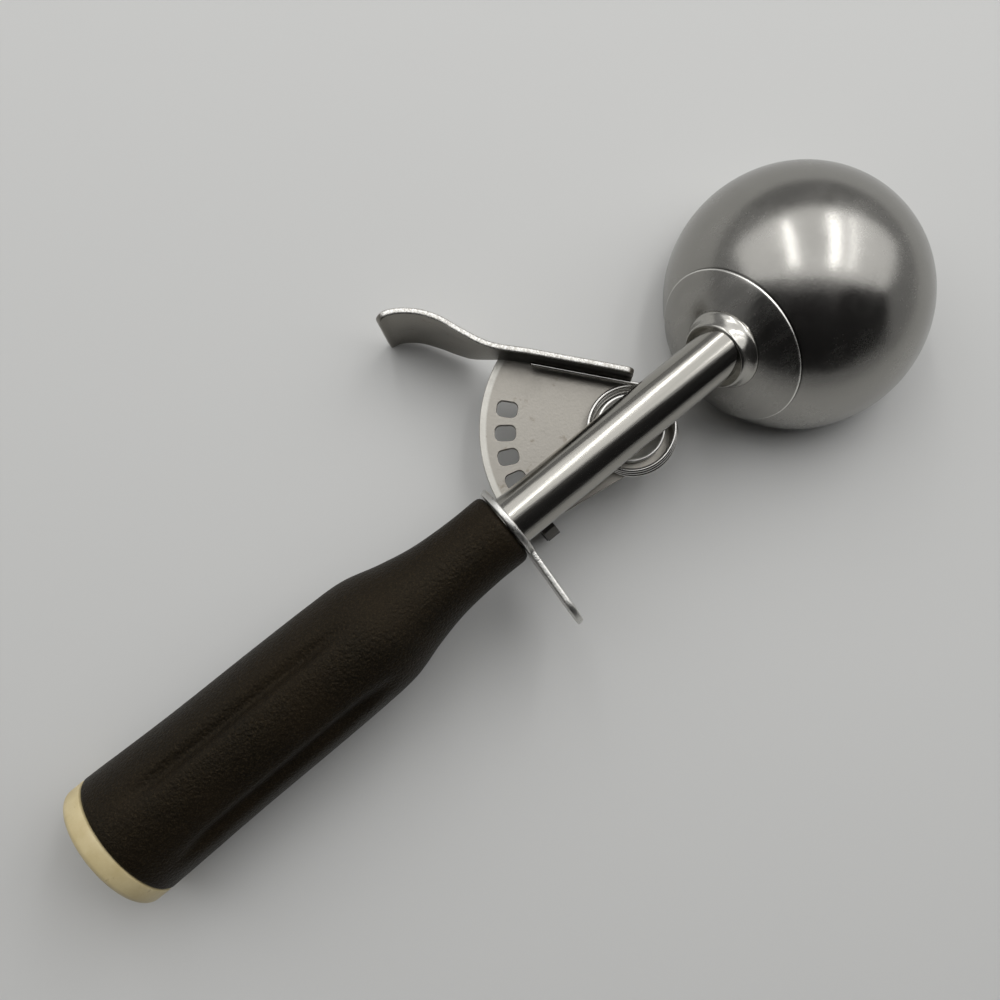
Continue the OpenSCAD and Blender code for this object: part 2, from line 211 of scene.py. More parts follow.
def loft(bm, rings, closed=True):
    """Joins closed loops of points into a skin; closed also joins the last loop to the first."""
    made = [[bm.verts.new(p) for p in ring] for ring in rings]
    pairs = list(zip(made, made[1:])) + ([(made[-1], made[0])] if closed else [])
    for a, b in pairs:
        n = len(a)
        for i in range(n):
            bm.faces.new((a[i], a[(i + 1) % n], b[(i + 1) % n], b[i]))
    if not closed:
        bm.faces.new(made[0])
        bm.faces.new(made[-1])


def lathe(bm, profile, place, segments=160, closed=True):
    """Turns a profile of (radius, height) about the Z axis of a placement matrix."""
    rings = []
    for radius, height in profile:
        ring = []
        for i in range(segments):
            turn = math.tau * i / segments
            ring.append(place @ Vector((radius * math.cos(turn), radius * math.sin(turn), height)))
        rings.append(ring)
    loft(bm, rings, closed)


def arc(radius, start, end, steps, centre=(0, 0)):
    """Points along an arc, angles in radians from the first axis."""
    return [(centre[0] + radius * math.cos(start + (end - start) * i / steps),
             centre[1] + radius * math.sin(start + (end - start) * i / steps))
            for i in range(steps + 1)]


def smooth_path(points, steps):
    """A smooth curve through 2-D points, with steps between each two."""
    out = []
    for i in range(len(points) - 1):
        p0, p1 = Vector(points[max(i - 1, 0)]), Vector(points[i])
        p2, p3 = Vector(points[i + 1]), Vector(points[min(i + 2, len(points) - 1)])
        for k in range(steps):
            t = k / steps
            out.append(0.5 * (2 * p1 + (p2 - p0) * t + (2 * p0 - 5 * p1 + 4 * p2 - p3) * t * t
                              + (3 * p1 - p0 - 3 * p2 + p3) * t ** 3))
    out.append(Vector(points[-1]))
    return out


def axis_place(origin, direction):
    """Placement whose Z axis runs along a direction from an origin."""
    turn = Vector(direction).to_track_quat("Z", "Y").to_matrix().to_4x4()
    return Matrix.Translation(origin) @ turn


def tube_along(bm, path, radius, sides=20):
    """Round tube along 3-D points, with flat ends."""
    rings = []
    for i, point in enumerate(path):
        ahead = (path[min(i + 1, len(path) - 1)] - path[max(i - 1, 0)]).normalized()
        side = ahead.cross(Vector((0, 0, 1))).normalized()
        up = side.cross(ahead)
        rings.append([point + radius * (math.cos(math.tau * s / sides) * side
                                        + math.sin(math.tau * s / sides) * up)
                      for s in range(sides)])
    loft(bm, rings, closed=False)


def flat_plate(name, outline, holes, bottom, top, edge, material):
    """Plate with round edges from a plan outline and holes, as one mesh."""
    curve = bpy.data.curves.new(name, "CURVE")
    curve.dimensions = "2D"
    curve.fill_mode = "BOTH"
    for points in [outline] + holes:
        spline = curve.splines.new("POLY")
        spline.points.add(len(points) - 1)
        for target, point in zip(spline.points, points):
            target.co = (point[0], point[1], 0, 1)
        spline.use_cyclic_u = True
    curve.extrude = (top - bottom) / 2 - edge
    curve.bevel_depth = edge
    curve.bevel_resolution = 3
    curve.offset = -edge
    maker = bpy.data.objects.new(name, curve)
    bpy.context.scene.collection.objects.link(maker)
    bpy.context.view_layer.update()
    evaluated = maker.evaluated_get(bpy.context.evaluated_depsgraph_get())
    mesh = bpy.data.meshes.new_from_object(evaluated)
    bpy.data.objects.remove(maker)
    bm = bmesh.new()
    bm.from_mesh(mesh)
    bmesh.ops.translate(bm, verts=bm.verts, vec=(0, 0, (top + bottom) / 2))
    plate = add_piece(name, bm, material, sharp=30)
    for face in plate.data.polygons:
        face.use_smooth = abs(face.normal.z) < 0.999
    return plate


# ---- material helpers -------------------------------------------------------

def new_material(name):
    """Material with one Principled shader, returned with its tree and shader."""
    material = bpy.data.materials.new(name)
    material.use_nodes = True
    tree = material.node_tree
    return material, tree, tree.nodes["Principled BSDF"]


def node(tree, kind, **values):
    """Node with its plain values and inputs set; inputs are given by their socket's name."""
    made = tree.nodes.new(kind)
    for key, value in values.items():
        if hasattr(made, key):
            setattr(made, key, value)
        else:
            made.inputs[key.replace("_", " ")].default_value = value
    return made


def ramp(tree, source, low_at, high_at, low_value, high_value):
    """Maps a value to a range, clamped."""
    made = tree.nodes.new("ShaderNodeMapRange")
    for index, value in ((1, low_at), (2, high_at), (3, low_value), (4, high_value)):
        made.inputs[index].default_value = value
    tree.links.new(source, made.inputs[0])
    return made.outputs[0]


def stretched(tree, scale):
    """Object coordinates in metres, scaled along each axis."""
    place = tree.nodes.new("ShaderNodeTexCoord")
    mapping = tree.nodes.new("ShaderNodeMapping")
    mapping.inputs["Scale"].default_value = scale
    tree.links.new(place.outputs["Object"], mapping.inputs["Vector"])
    return mapping.outputs["Vector"]


def finished(material):
    """Tree and shader of a finished material, and the socket that gives its base colour."""
    tree = material.node_tree
    shader = tree.nodes["Principled BSDF"]
    return tree, shader, shader.inputs["Base Color"].links[0].from_socket


def tint_over(material, mask, tint):
    """Lays a colour over a finished material's base colour, as far as a mask says."""
    tree, shader, colour = finished(material)
    mix = node(tree, "ShaderNodeMix", data_type="RGBA")
    tree.links.new(mask, mix.inputs["Factor"])
    tree.links.new(colour, mix.inputs["A"])
    mix.inputs["B"].default_value = (*tint, 1)
    tree.links.new(mix.outputs["Result"], shader.inputs["Base Color"])


def new_group(name, inputs, outputs):
    """Node group with a vector and named numbers in and numbers out, and its two end nodes."""
    group = bpy.data.node_groups.new(name, "ShaderNodeTree")
    group.interface.new_socket(name="Vector", in_out="INPUT", socket_type="NodeSocketVector")
    for in_out, labels in (("INPUT", inputs), ("OUTPUT", outputs)):
        for label in labels:
            group.interface.new_socket(name=label, in_out=in_out, socket_type="NodeSocketFloat")
    return group, group.nodes.new("NodeGroupInput"), group.nodes.new("NodeGroupOutput")


def wear_group():
    """Group: fine grain, broad smudges and small stains of handled steel."""
    name = "Steel wear"
    if name in bpy.data.node_groups:
        return bpy.data.node_groups[name]
    group, entry, leave = new_group(
        name, ("Grain Scale", "Smudge Scale", "Stain Scale", "Stain Amount"),
        ("Grain", "Smudge", "Stain"))
    for label, detail in (("Grain", 3), ("Smudge", 4), ("Stain", 5)):
        noise = node(group, "ShaderNodeTexNoise", Detail=detail, Roughness=0.6)
        group.links.new(entry.outputs["Vector"], noise.inputs["Vector"])
        group.links.new(entry.outputs[label + " Scale"], noise.inputs["Scale"])
        if label != "Stain":
            group.links.new(noise.outputs["Fac"], leave.inputs[label])
            continue
        spots = ramp(group, noise.outputs["Fac"], 0.62, 0.74, 0, 1)
        scaled = node(group, "ShaderNodeMath", operation="MULTIPLY")
        group.links.new(spots, scaled.inputs[0])
        group.links.new(entry.outputs["Stain Amount"], scaled.inputs[1])
        group.links.new(scaled.outputs[0], leave.inputs[label])
    return group


def steel(name, colour, stain_colour, roughness, scale=(1, 1, 1), grain=2500, smudge=90,
          stain=220, stain_amount=0.3, spread=0.08, bump=0.05):
    """Steel whose roughness, colour and surface vary with grain, smudges and stains."""
    material, tree, shader = new_material(name)
    wear = tree.nodes.new("ShaderNodeGroup")
    wear.node_tree = wear_group()
    tree.links.new(stretched(tree, scale), wear.inputs["Vector"])
    wear.inputs["Grain Scale"].default_value = grain
    wear.inputs["Smudge Scale"].default_value = smudge
    wear.inputs["Stain Scale"].default_value = stain
    wear.inputs["Stain Amount"].default_value = stain_amount
    blend = node(tree, "ShaderNodeMix", data_type="RGBA")
    blend.inputs["A"].default_value = (*colour, 1)
    blend.inputs["B"].default_value = (*stain_colour, 1)
    tree.links.new(wear.outputs["Stain"], blend.inputs["Factor"])
    shade = node(tree, "ShaderNodeHueSaturation")
    tree.links.new(blend.outputs["Result"], shade.inputs["Color"])
    tree.links.new(ramp(tree, wear.outputs["Smudge"], 0.3, 0.7, 0.90, 1.06), shade.inputs["Value"])
    tree.links.new(shade.outputs["Color"], shader.inputs["Base Color"])
    rough = node(tree, "ShaderNodeMath", operation="ADD", use_clamp=True)
    smoothest, roughest = roughness - spread, roughness + spread
    tree.links.new(ramp(tree, wear.outputs["Smudge"], 0.3, 0.7, smoothest, roughest),
                   rough.inputs[0])
    tree.links.new(ramp(tree, wear.outputs["Grain"], 0.3, 0.7, -spread / 2, spread / 2),
                   rough.inputs[1])
    tree.links.new(rough.outputs[0], shader.inputs["Roughness"])
    relief = node(tree, "ShaderNodeBump", Strength=bump, Distance=0.0002)
    tree.links.new(wear.outputs["Grain"], relief.inputs["Height"])
    tree.links.new(relief.outputs["Normal"], shader.inputs["Normal"])
    shader.inputs["Metallic"].default_value = 1
    return material


def saddle_ring_group():
    """Group: mask that changes with the angle from the saddle's axis, told by its cosine."""
    name = "Saddle ring"
    if name in bpy.data.node_groups:
        return bpy.data.node_groups[name]
    limits = ("Low Cosine", "High Cosine", "Low Amount", "High Amount")
    group, entry, leave = new_group(name, limits, ("Mask",))
    out = node(group, "ShaderNodeVectorMath", operation="SUBTRACT")
    group.links.new(entry.outputs["Vector"], out.inputs[0])
    out.inputs[1].default_value = BOWL_CENTRE
    ray = node(group, "ShaderNodeVectorMath", operation="NORMALIZE")
    group.links.new(out.outputs[0], ray.inputs[0])
    lean = node(group, "ShaderNodeVectorMath", operation="DOT_PRODUCT")
    group.links.new(ray.outputs[0], lean.inputs[0])
    tilt = settings().bowl.saddle_tilt
    lean.inputs[1].default_value = (-math.cos(tilt), 0, math.sin(tilt))
    mask = group.nodes.new("ShaderNodeMapRange")
    group.links.new(lean.outputs["Value"], mask.inputs[0])
    for index, label in enumerate(limits, 1):
        group.links.new(entry.outputs[label], mask.inputs[index])
    group.links.new(mask.outputs[0], leave.inputs["Mask"])
    return group


def ring_tint(material, first, last, amount, tint):
    """Tints a ring round the saddle's axis, from angle first, where it is full, to last."""
    tree = material.node_tree
    place = tree.nodes.new("ShaderNodeTexCoord")
    ring = tree.nodes.new("ShaderNodeGroup")
    ring.node_tree = saddle_ring_group()
    tree.links.new(place.outputs["Object"], ring.inputs["Vector"])
    (low_cosine, low_amount), (high_cosine, high_amount) = sorted(
        ((math.cos(first), amount), (math.cos(last), 0)))
    ring.inputs["Low Cosine"].default_value = low_cosine
    ring.inputs["High Cosine"].default_value = high_cosine
    ring.inputs["Low Amount"].default_value = low_amount
    ring.inputs["High Amount"].default_value = high_amount
    tint_over(material, ring.outputs["Mask"], tint)
    return material


def bowl_steel():
    """Spun steel with faint dents; the bowl's operator lays a painted shade line on it round the
    saddle plate.
    """
    material = steel("bowl_steel", settings().bowl.steel, (0.22, 0.21, 0.19), 0.23,
                     grain=1800, smudge=60, stain=160, stain_amount=0.25, spread=0.06, bump=0.06)
    tree, shader, _ = finished(material)
    dents = node(tree, "ShaderNodeTexNoise", Scale=42, Detail=2, Roughness=0.5)
    tree.links.new(tree.nodes.new("ShaderNodeTexCoord").outputs["Object"], dents.inputs["Vector"])
    relief = node(tree, "ShaderNodeBump", Strength=0.7, Distance=0.0004)
    tree.links.new(dents.outputs["Fac"], relief.inputs["Height"])
    tree.links.new(shader.inputs["Normal"].links[0].from_socket, relief.inputs["Normal"])
    tree.links.new(relief.outputs["Normal"], shader.inputs["Normal"])
    return material


def saddle_steel():
    """Steel of the saddle plate, with a painted highlight along its edge."""
    colour = [c * 0.95 for c in settings().bowl.steel]
    material = steel("saddle_steel", colour, (0.22, 0.20, 0.18), 0.24, scale=(1, 3, 1),
                     grain=1400, smudge=90, stain=200, stain_amount=0.35, spread=0.06, bump=0.1)
    edge = settings().bowl.saddle_spread
    # Painted highlight: the ring tint lightens the plate's rolled edge.
    return ring_tint(material, edge - math.radians(0.55), edge - math.radians(0.95), 0.9,
                     (0.85, 0.84, 0.80))


def shank_steel():
    """Polished tube, its grain drawn out along the shank."""
    return steel("shank_steel", settings().shank.steel, (0.28, 0.26, 0.23), 0.18,
                 scale=(0.05, 1, 1), grain=2200, smudge=350, stain=500, stain_amount=0.2,
                 spread=0.05, bump=0.08)


def bright_steel():
    """Polished wire, rod and small turned fittings."""
    return steel("bright_steel", (0.52, 0.51, 0.49), (0.28, 0.26, 0.23), 0.17, grain=1500,
                 smudge=200, stain=400, stain_amount=0.3, spread=0.06)


def lever_steel():
    """Satin sheet with brown stains."""
    return steel("lever_steel", settings().lever.steel, (0.17, 0.14, 0.105), 0.40, grain=1600,
                 smudge=140, stain=300, stain_amount=0.9, spread=0.07, bump=0.2)


def collar_steel():
    """Turned collar, lightly stained."""
    return steel("collar_steel", (0.42, 0.41, 0.38), (0.24, 0.22, 0.2), 0.2, grain=1600,
                 smudge=260, stain=420, stain_amount=0.5, spread=0.06)


def seat_steel():
    """Pale, evenly worn disc inside the coil."""
    return steel("seat_steel", (0.78, 0.77, 0.74), (0.5, 0.48, 0.45), 0.36, grain=1500,
                 smudge=300, stain=400, stain_amount=0.3, spread=0.05)


def worn_steel():
    """Much handled, pitted steel of the finger guard."""
    return steel("worn_steel", (0.62, 0.61, 0.58), (0.34, 0.33, 0.3), 0.33, grain=2600,
                 smudge=500, stain=900, stain_amount=0.6, spread=0.08, bump=0.5)


def wall_steel():
    """Lever steel with a painted highlight along the top edge and painted shade inside the fold of
    the flange.
    """
    material = lever_steel()
    material.name = "wall_steel"
    tree = material.node_tree
    place = tree.nodes.new("ShaderNodeTexCoord")

    # Painted shade: faces of the flange that look inward, near the fold, are darkened.
    inward = (-0.766, -0.643, 0)
    fold = (PIVOT.x - 1.6 * MM, 21.5 * MM, LEVER_TOP + 3 * MM)
    facing = node(tree, "ShaderNodeVectorMath", operation="DOT_PRODUCT")
    tree.links.new(place.outputs["Normal"], facing.inputs[0])
    facing.inputs[1].default_value = inward
    reach = node(tree, "ShaderNodeVectorMath", operation="DISTANCE")
    tree.links.new(place.outputs["Object"], reach.inputs[0])
    reach.inputs[1].default_value = fold
    painted_shade = node(tree, "ShaderNodeMath", operation="MULTIPLY")
    tree.links.new(ramp(tree, facing.outputs["Value"], 0.55, 0.9, 0, 0.88), painted_shade.inputs[0])
    tree.links.new(ramp(tree, reach.outputs["Value"], 16 * MM, 20 * MM, 1, 0), painted_shade.inputs[1])
    tint_over(material, painted_shade.outputs[0], (0.035, 0.032, 0.028))

    # Painted highlight: the wall's top edge is lightened, broken up by fine noise.
    apart = node(tree, "ShaderNodeSeparateXYZ")
    tree.links.new(place.outputs["Object"], apart.inputs[0])
    highlight_noise = node(tree, "ShaderNodeTexNoise", Scale=2300, Detail=3, Roughness=0.7)
    tree.links.new(place.outputs["Object"], highlight_noise.inputs["Vector"])
    top_highlight = node(tree, "ShaderNodeMath", operation="MULTIPLY")
    highlight_low, highlight_full = WALL_TOP - 0.35 * MM, WALL_TOP - 0.1 * MM
    tree.links.new(ramp(tree, apart.outputs["Z"], highlight_low, highlight_full, 0, 1), top_highlight.inputs[0])
    tree.links.new(ramp(tree, highlight_noise.outputs["Fac"], 0.42, 0.58, 0.25, 1), top_highlight.inputs[1])
    tint_over(material, top_highlight.outputs[0], (0.72, 0.71, 0.68))
    return material


def sheet_steel():
    """Lever steel with a painted highlight along the toothed arc."""
    material = lever_steel()
    material.name = "sheet_steel"
    tree = material.node_tree
    place = tree.nodes.new("ShaderNodeTexCoord")
    reach = node(tree, "ShaderNodeVectorMath", operation="DISTANCE")
    tree.links.new(place.outputs["Object"], reach.inputs[0])
    reach.inputs[1].default_value = (PIVOT.x, PIVOT.y, LEVER_TOP)
    # Painted highlight: a ring just inside the toothed arc is lightened.
    arc_r = settings().lever.arc
    band_in, band_full = arc_r - 1.9 * MM, arc_r - 1.4 * MM
    arc_highlight = ramp(tree, reach.outputs["Value"], band_in, band_full, 0, 0.6)
    tint_over(material, arc_highlight, (0.56, 0.55, 0.51))
    return material


def dark_steel():
    """Darkened steel of the pinion, pins and clips."""
    return steel("dark_steel", (0.10, 0.095, 0.088), (0.05, 0.045, 0.04), 0.42)


def bronze():
    """Sintered bronze of the bushes."""
    return steel("bronze", (0.55, 0.40, 0.20), (0.25, 0.17, 0.09), 0.35)


def handle_plastic():
    """Dark moulded plastic with a fine pebbled skin and browner, worn places."""
    material, tree, shader = new_material("handle_plastic")
    place = stretched(tree, (1, 1, 1))
    broad = node(tree, "ShaderNodeTexNoise", Scale=55, Detail=4, Roughness=0.55)
    pebble = node(tree, "ShaderNodeTexNoise", Scale=1300, Detail=3, Roughness=0.6)
    speck = node(tree, "ShaderNodeTexNoise", Scale=3000, Detail=2, Roughness=0.5)
    for maker in (broad, pebble, speck):
        tree.links.new(place, maker.inputs["Vector"])
    dark = settings().handle.plastic
    blend = node(tree, "ShaderNodeMix", data_type="RGBA")
    blend.inputs["A"].default_value = (*[c * 0.75 for c in dark], 1)
    blend.inputs["B"].default_value = (dark[0] * 1.9, dark[1] * 1.6, dark[2] * 1.3, 1)
    tree.links.new(ramp(tree, broad.outputs["Fac"], 0.35, 0.68, 0, 1), blend.inputs["Factor"])
    fleck = node(tree, "ShaderNodeMix", data_type="RGBA")
    fleck.inputs["B"].default_value = (dark[0] * 7, dark[1] * 6.4, dark[2] * 5.5, 1)
    tree.links.new(ramp(tree, speck.outputs["Fac"], 0.48, 0.70, 0, 0.7), fleck.inputs["Factor"])
    tree.links.new(blend.outputs["Result"], fleck.inputs["A"])
    tree.links.new(fleck.outputs["Result"], shader.inputs["Base Color"])
    tree.links.new(ramp(tree, broad.outputs["Fac"], 0.3, 0.7, 0.44, 0.56),
                   shader.inputs["Roughness"])
    relief = node(tree, "ShaderNodeBump", Strength=0.9, Distance=0.0004)
    tree.links.new(pebble.outputs["Fac"], relief.inputs["Height"])
    tree.links.new(relief.outputs["Normal"], shader.inputs["Normal"])
    shader.inputs["Specular IOR Level"].default_value = 0.17
    shader.inputs["Specular Tint"].default_value = (1.0, 0.86, 0.66, 1)
    return material


def cap_plastic():
    """Aged ivory plastic with faint brown marks."""
    material, tree, shader = new_material("cap_plastic")
    place = stretched(tree, (1, 1, 1))
    broad = node(tree, "ShaderNodeTexNoise", Scale=110, Detail=5, Roughness=0.6)
    marks = node(tree, "ShaderNodeTexNoise", Scale=380, Detail=4, Roughness=0.6)
    for maker in (broad, marks):
        tree.links.new(place, maker.inputs["Vector"])
    ivory = settings().handle.ivory
    blend = node(tree, "ShaderNodeMix", data_type="RGBA")
    blend.inputs["A"].default_value = (*ivory, 1)
    blend.inputs["B"].default_value = (ivory[0] * 0.82, ivory[1] * 0.78, ivory[2] * 0.68, 1)
    tree.links.new(ramp(tree, broad.outputs["Fac"], 0.4, 0.7, 0, 1), blend.inputs["Factor"])
    mark = node(tree, "ShaderNodeMix", data_type="RGBA")
    mark.inputs["B"].default_value = (0.24, 0.15, 0.07, 1)
    tree.links.new(ramp(tree, marks.outputs["Fac"], 0.66, 0.76, 0, 0.6), mark.inputs["Factor"])
    tree.links.new(blend.outputs["Result"], mark.inputs["A"])
    tree.links.new(mark.outputs["Result"], shader.inputs["Base Color"])
    relief = node(tree, "ShaderNodeBump", Strength=0.08, Distance=0.0003)
    tree.links.new(marks.outputs["Fac"], relief.inputs["Height"])
    tree.links.new(relief.outputs["Normal"], shader.inputs["Normal"])
    shader.inputs["Roughness"].default_value = 0.42
    return material


# ---- pieces -----------------------------------------------------------------

class SCOOP_OT_bowl(bpy.types.Operator):
    """Bowl, saddle plate and collar"""
    bl_idname = "scoop.bowl"
    bl_label = "Bowl"

    def execute(self, context):
        size = settings().bowl
        inner = BOWL_R - size.wall
        drop = BOWL_CENTRE.z
        rim_out = -math.asin(drop / BOWL_R)
        rim_in = -math.asin(drop / inner)
        rim_trim = 0.006  # angle by which the skin stops short of the rim
        pole = math.radians(89.9)
        bm = bmesh.new()
        profile = arc(BOWL_R, pole, rim_out + rim_trim, 72)
        profile += arc(inner, rim_in + rim_trim, pole, 72)
        lathe(bm, profile, Matrix.Translation(BOWL_CENTRE), 192)
        # Painted shade: the ring tint darkens the bowl in a thin line just outside the saddle
        # plate's edge.
        skin = ring_tint(bowl_steel(), size.saddle_spread + math.radians(0.35),
                         size.saddle_spread + math.radians(1.0), 0.8, (0.03, 0.028, 0.026))
        skin.name = "bowl_skin"
        dress(add_piece("bowl_shell", bm, skin), "frame", "bowl_steel", "bowl")

        saddle_out = BOWL_R + size.saddle_wall
        direction = Vector((-math.cos(size.saddle_tilt), 0, math.sin(size.saddle_tilt)))
        edge = math.pi / 2 - size.saddle_spread
        # The plate's edge: rolled over an angle and a depth, then tucked back to the bowl.
        roll, roll_depth = 0.013, 0.42 * MM
        lip = [(saddle_out - roll_depth * (1 - math.cos(math.radians(15 * k))),
                edge + roll * (1 - math.sin(math.radians(15 * k)))) for k in range(1, 7)]
        lip += [(BOWL_R + 0.34 * MM, edge), (BOWL_R + 0.30 * MM, edge + 0.016),
                (BOWL_R + SKIN_GAP, edge + 0.018)]
        profile = (arc(saddle_out, pole, edge + roll, 40)
                   + [(r * math.cos(a), r * math.sin(a)) for r, a in lip]
                   + arc(BOWL_R + SKIN_GAP, edge + 0.03, pole, 40))
        bm = bmesh.new()
        lathe(bm, profile, axis_place(BOWL_CENTRE, direction), 160)
        dress(add_piece("saddle_shell", bm, saddle_steel()), "frame", "bowl_steel", "saddle_plate")

        mouth = saddle_out + size.collar_reach
        rise = SHANK_Z - BOWL_CENTRE.z
        direction = Vector((-math.sqrt(mouth ** 2 - rise ** 2), 0, rise)) / mouth
        # The collar's section: radius, and height from its mouth, in millimetres.
        section = ((5.9, -4.7), (9.9, -4.7), (9.95, -4.0), (9.85, -3.6), (9.5, -3.2), (9.0, -2.4),
                   (8.6, -1.4), (8.35, -0.6), (8.2, -0.2), (7.95, 0), (7.7, -0.05), (7.5, -0.3),
                   (5.9, -0.5))
        profile = [(r * MM, mouth + h * MM) for r, h in section]
        bm = bmesh.new()
        lathe(bm, profile, axis_place(BOWL_CENTRE, direction), 128)
        dress(add_piece("collar_ring", bm, collar_steel(), sharp=50), "frame", "bright_steel",
              "shank_collar")
        return {"FINISHED"}


class SCOOP_OT_shank(bpy.types.Operator):
    """Shank tube, trimmed to the saddle plate"""
    bl_idname = "scoop.shank"
    bl_label = "Shank"

    def execute(self, context):
        size = settings().shank
        seat = BOWL_R + settings().bowl.saddle_wall + SKIN_GAP
        back = low("shank").x
        stations = (back, GUARD_FRONT - 2 * MM, GUARD_FRONT + 10 * MM, -60 * MM, -40 * MM)
        sides = 128

        def ring(radius, x=None):
            """Points round the tube at x, or where it meets the saddle plate."""
            points = []
            for i in range(sides):
                turn = math.tau * i / sides
                y, up = radius * math.sin(turn), radius * math.cos(turn)
                height = SHANK_Z + up - BOWL_CENTRE.z
                at = -math.sqrt(seat ** 2 - y * y - height * height) if x is None else x
                points.append(Vector((at, y, SHANK_Z + up)))
            return points

        bore = SHANK_R - size.wall
        rings = [ring(SHANK_R, x) for x in stations] + [ring(SHANK_R), ring(bore), ring(bore, back)]
        bm = bmesh.new()
        loft(bm, rings, closed=True)
        dress(add_piece("shank_tube", bm, shank_steel()), "frame", "bright_steel", "shank")
        return {"FINISHED"}


class SCOOP_OT_guard(bpy.types.Operator):
    """Finger guard with round edges"""
    bl_idname = "scoop.guard"
    bl_label = "Finger guard"

    def execute(self, context):
        least_corner = 0.9  # radians between two faces whose edge is rounded
        bm = bmesh.new()
        bm.from_mesh(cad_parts["finger_guard"].data)
        bmesh.ops.remove_doubles(bm, verts=bm.verts, dist=1e-6)
        bmesh.ops.dissolve_limit(bm, angle_limit=math.radians(1), verts=bm.verts, edges=bm.edges)
        sharp = [e for e in bm.edges
                 if len(e.link_faces) == 2 and e.calc_face_angle() > least_corner]
        bmesh.ops.bevel(bm, geom=sharp, offset=settings().shank.guard_edge, segments=3,
                        profile=0.5, affect="EDGES", clamp_overlap=True)
        dress(add_piece("guard_plate", bm, worn_steel(), sharp=35), "frame", "bright_steel",
              "finger_guard")
        return {"FINISHED"}


class SCOOP_OT_handle(bpy.types.Operator):
    """Fluted handle and end cap"""
    bl_idname = "scoop.handle"
    bl_label = "Handle"

    def execute(self, context):
        size = settings().handle
        # The handle's section: radius, and distance back from its front, in millimetres.
        full, end = HANDLE_R / MM, (HANDLE_FRONT - HANDLE_BACK) / MM
        bore, pocket, pocket_depth = 6.4, 8.1, 8.2
        nose = [(bore, 0), (7.6, 0), (8.3, 0.15), (8.85, 0.55), (9.2, 1.2)]
        swell = smooth_path([
            (9.3, 2), (9.3, 10), (10, 20), (11.8, 29), (14.2, 38), (14.9, 48), (15.2, 64),
            (15.4, 85), (15.8, 100), (full - 0.12, end - 1.4)], 9)
        butt = [(full - 0.1, end - 0.8), (full - 0.35, end - 0.3), (full - 0.8, end),
                (pocket, end), (pocket, end - pocket_depth), (bore, end - pocket_depth)]
        profile = nose + [tuple(p) for p in swell] + butt

        # The flutes start and end softly, and only the outside has them.
        flute_start, start_run, flute_end, end_run, outside = 38, 16, end - 5, 14, 9
        first_flute = math.radians(-18)
        half_flute = math.radians(7.5)
        pitch = math.tau / size.flutes
        sides = 256
        rings = []
        for radius, back in profile:
            fade = clamp((back - flute_start) / start_run) * clamp((flute_end - back) / end_run)
            fade = ease(fade) if radius > outside else 0
            ring = []
            for i in range(sides):
                turn = math.tau * i / sides
                off = (turn - first_flute + pitch / 2) % pitch - pitch / 2
                groove = math.exp(-(off / half_flute) ** 2)
                r = radius * MM - size.flute_depth * fade * groove
                ring.append(Vector((HANDLE_FRONT - back * MM, -r * math.sin(turn),
                                    SHANK_Z + r * math.cos(turn))))
            rings.append(ring)
        bm = bmesh.new()
        loft(bm, rings, closed=True)
        dress(add_piece("handle_grip", bm, handle_plastic(), sharp=45), "frame", "handle_plastic",
              "handle")

        thick = HANDLE_BACK - low("end_cap").x
        outer = (high("end_cap").z - low("end_cap").z) / 2
        crown, hub = 1.7 * MM, 0.01 * MM  # rounding of the rim, and the smallest ring
        profile = [(hub, 0.05 * MM), (outer - 0.5 * MM, 0.05 * MM), (outer - 0.12 * MM, 0.25 * MM),
                   (outer, 0.6 * MM)]
        profile += arc(crown, 0, math.pi / 2, 8, (outer - crown, thick - crown))
        profile += [(outer * 0.5, thick), (hub, thick)]
        bm = bmesh.new()
        place = axis_place(Vector((HANDLE_BACK, 0, SHANK_Z)), (-1, 0, 0))
        lathe(bm, profile, place, 160, closed=False)
        dress(add_piece("cap_disc", bm, cap_plastic()), "frame", "cap_plastic", "end_cap")
        return {"FINISHED"}


